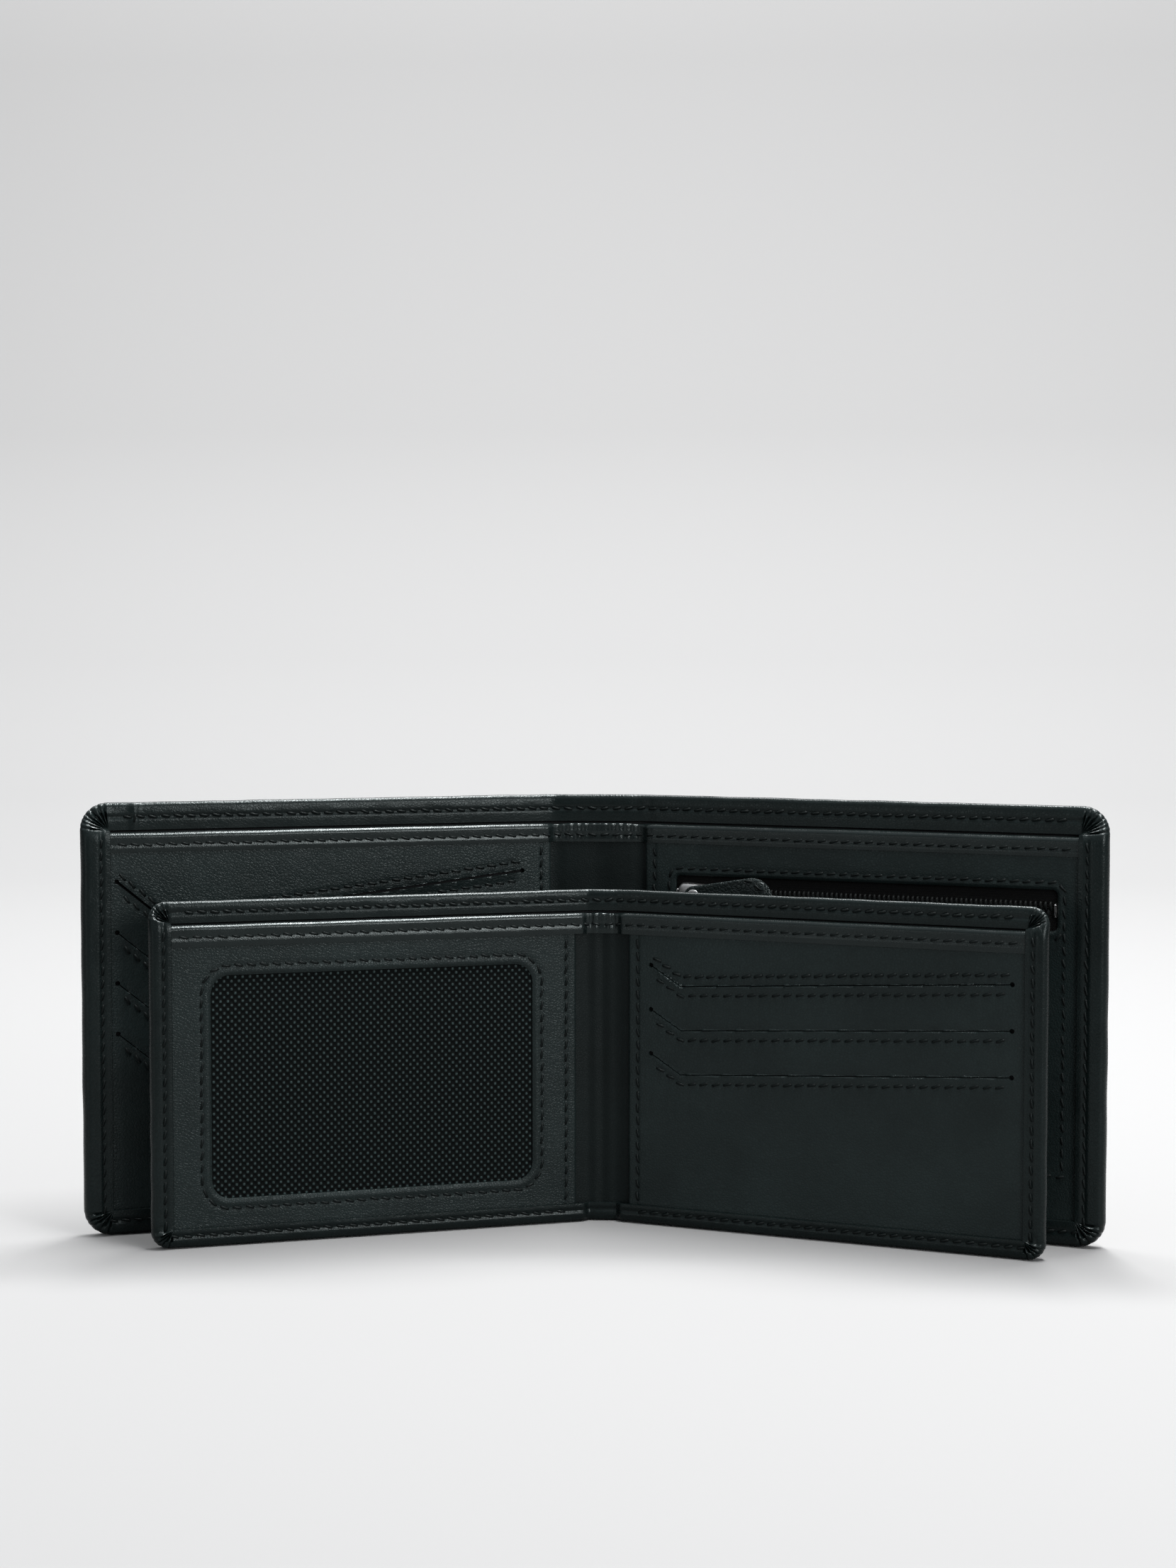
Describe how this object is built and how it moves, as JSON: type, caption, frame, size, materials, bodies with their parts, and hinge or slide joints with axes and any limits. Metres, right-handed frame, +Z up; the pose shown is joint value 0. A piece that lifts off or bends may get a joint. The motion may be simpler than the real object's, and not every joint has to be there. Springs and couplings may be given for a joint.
{
  "type": "bifold wallet",
  "caption": "Black leather bifold wallet standing open, with a smaller bifold insert: card slots, zipped coin pocket, mesh identity window and full-length note pockets.",
  "frame": {"origin": "middle of the footprint, on the surface that the wallet stands on", "axes": "+X to the right along the open wallet, +Y towards the back of the outer spine, +Z up"},
  "size_m": [0.2444, 0.0586, 0.104],
  "materials": {
    "binding_leather": "thin black leather strip rolled over an edge, slightly glossier than the panels",
    "cover_leather": "smooth black leather with a fine pebble grain and a soft sheen along the turned edges",
    "lining_cloth": "fine black woven lining",
    "panel_leather": "smooth black leather, semi matt, fine grain",
    "pocket_cloth": "thin black lining cloth",
    "puller_leather": "black grained leather tab",
    "strip_leather": "softer, finer black leather that creases along its middle",
    "thread": "black twisted sewing thread",
    "window_mesh": "black woven mesh",
    "zip_coil": "black nylon coil",
    "zip_metal": "dark brushed nickel",
    "zip_tape": "black herringbone zip tape"
  },
  "bodies": {
    "outer_spine": {"cover_spine": "cover_leather", "note_lining_spine": "lining_cloth", "centre_strip": "strip_leather", "binding_spine": "binding_leather", "thread_spine": "thread"},
    "outer_left": {"cover_left": "cover_leather", "note_lining_left": "lining_cloth", "divider_left": "lining_cloth", "binding_left": "binding_leather", "thread_left": "thread", "card_panel": "panel_leather", "card_pocket_1": "pocket_cloth", "card_pocket_2": "pocket_cloth", "card_pocket_3": "pocket_cloth", "card_pocket_4": "pocket_cloth"},
    "outer_right": {"cover_right": "cover_leather", "note_lining_right": "lining_cloth", "divider_right": "lining_cloth", "binding_right": "binding_leather", "thread_right": "thread", "coin_panel": "panel_leather", "coin_bag_back": "pocket_cloth", "coin_bag_front": "pocket_cloth", "zip_tape_upper": "zip_tape", "zip_tape_lower": "zip_tape", "zip_coil_upper": "zip_coil", "zip_coil_lower": "zip_coil", "zip_stops": "zip_metal"},
    "zip_slider": {"zip_slider": "zip_metal"},
    "zip_pull": {"zip_pull": "puller_leather"},
    "insert_spine": {"insert_cover_spine": "cover_leather", "insert_note_lining_spine": "lining_cloth", "insert_centre_strip": "strip_leather", "insert_binding_spine": "binding_leather", "insert_thread_spine": "thread"},
    "insert_left": {"insert_cover_left": "cover_leather", "insert_note_lining_left": "lining_cloth", "insert_divider_left": "lining_cloth", "insert_binding_left": "binding_leather", "insert_thread_left": "thread", "id_frame_panel": "panel_leather", "id_window_mesh": "window_mesh", "id_pocket_back": "pocket_cloth"},
    "insert_right": {"insert_cover_right": "cover_leather", "insert_note_lining_right": "lining_cloth", "insert_divider_right": "lining_cloth", "insert_binding_right": "binding_leather", "insert_thread_right": "thread", "insert_card_panel": "panel_leather", "insert_card_pocket_1": "pocket_cloth", "insert_card_pocket_2": "pocket_cloth", "insert_card_pocket_3": "pocket_cloth"}
  },
  "joints": [
    {"name": "outer_left_fold", "type": "hinge", "parent": "outer_spine", "child": "outer_left", "pos_m": [-0.0113, 0.02711, 0], "axis": [0, 0, 1], "range_deg": [-20.5, 69.5]},
    {"name": "outer_right_fold", "type": "hinge", "parent": "outer_spine", "child": "outer_right", "pos_m": [0.0113, 0.02711, 0], "axis": [0, 0, 1], "range_deg": [-69.5, 20.5]},
    {"name": "insert_removal", "type": "slide", "parent": "outer_spine", "child": "insert_spine", "axis": [0, -1, 0], "range_m": [-0.0097, 0.14]},
    {"name": "insert_left_fold", "type": "hinge", "parent": "insert_spine", "child": "insert_left", "pos_m": [-0.0021, 0.01111, 0], "axis": [0, 0, 1], "range_deg": [-20.5, 69.5]},
    {"name": "insert_right_fold", "type": "hinge", "parent": "insert_spine", "child": "insert_right", "pos_m": [0.0059, 0.01111, 0], "axis": [0, 0, 1], "range_deg": [-69.5, 20.5]},
    {"name": "zip_slide", "type": "slide", "parent": "outer_right", "child": "zip_slider", "axis": [0.9367, -0.3502, 0], "range_m": [0, 0.085]},
    {"name": "pull_swing", "type": "hinge", "parent": "zip_slider", "child": "zip_pull", "pos_m": [0.02399, 0.01879, 0.0794], "axis": [-0.3502, -0.9367, 0], "range_deg": [-90, 20]}
  ],
  "couplings": [
    {"joint": "outer_right_fold", "follows": "outer_left_fold", "ratio": -1},
    {"joint": "insert_left_fold", "follows": "outer_left_fold", "ratio": 1},
    {"joint": "insert_right_fold", "follows": "outer_left_fold", "ratio": -1}
  ]
}
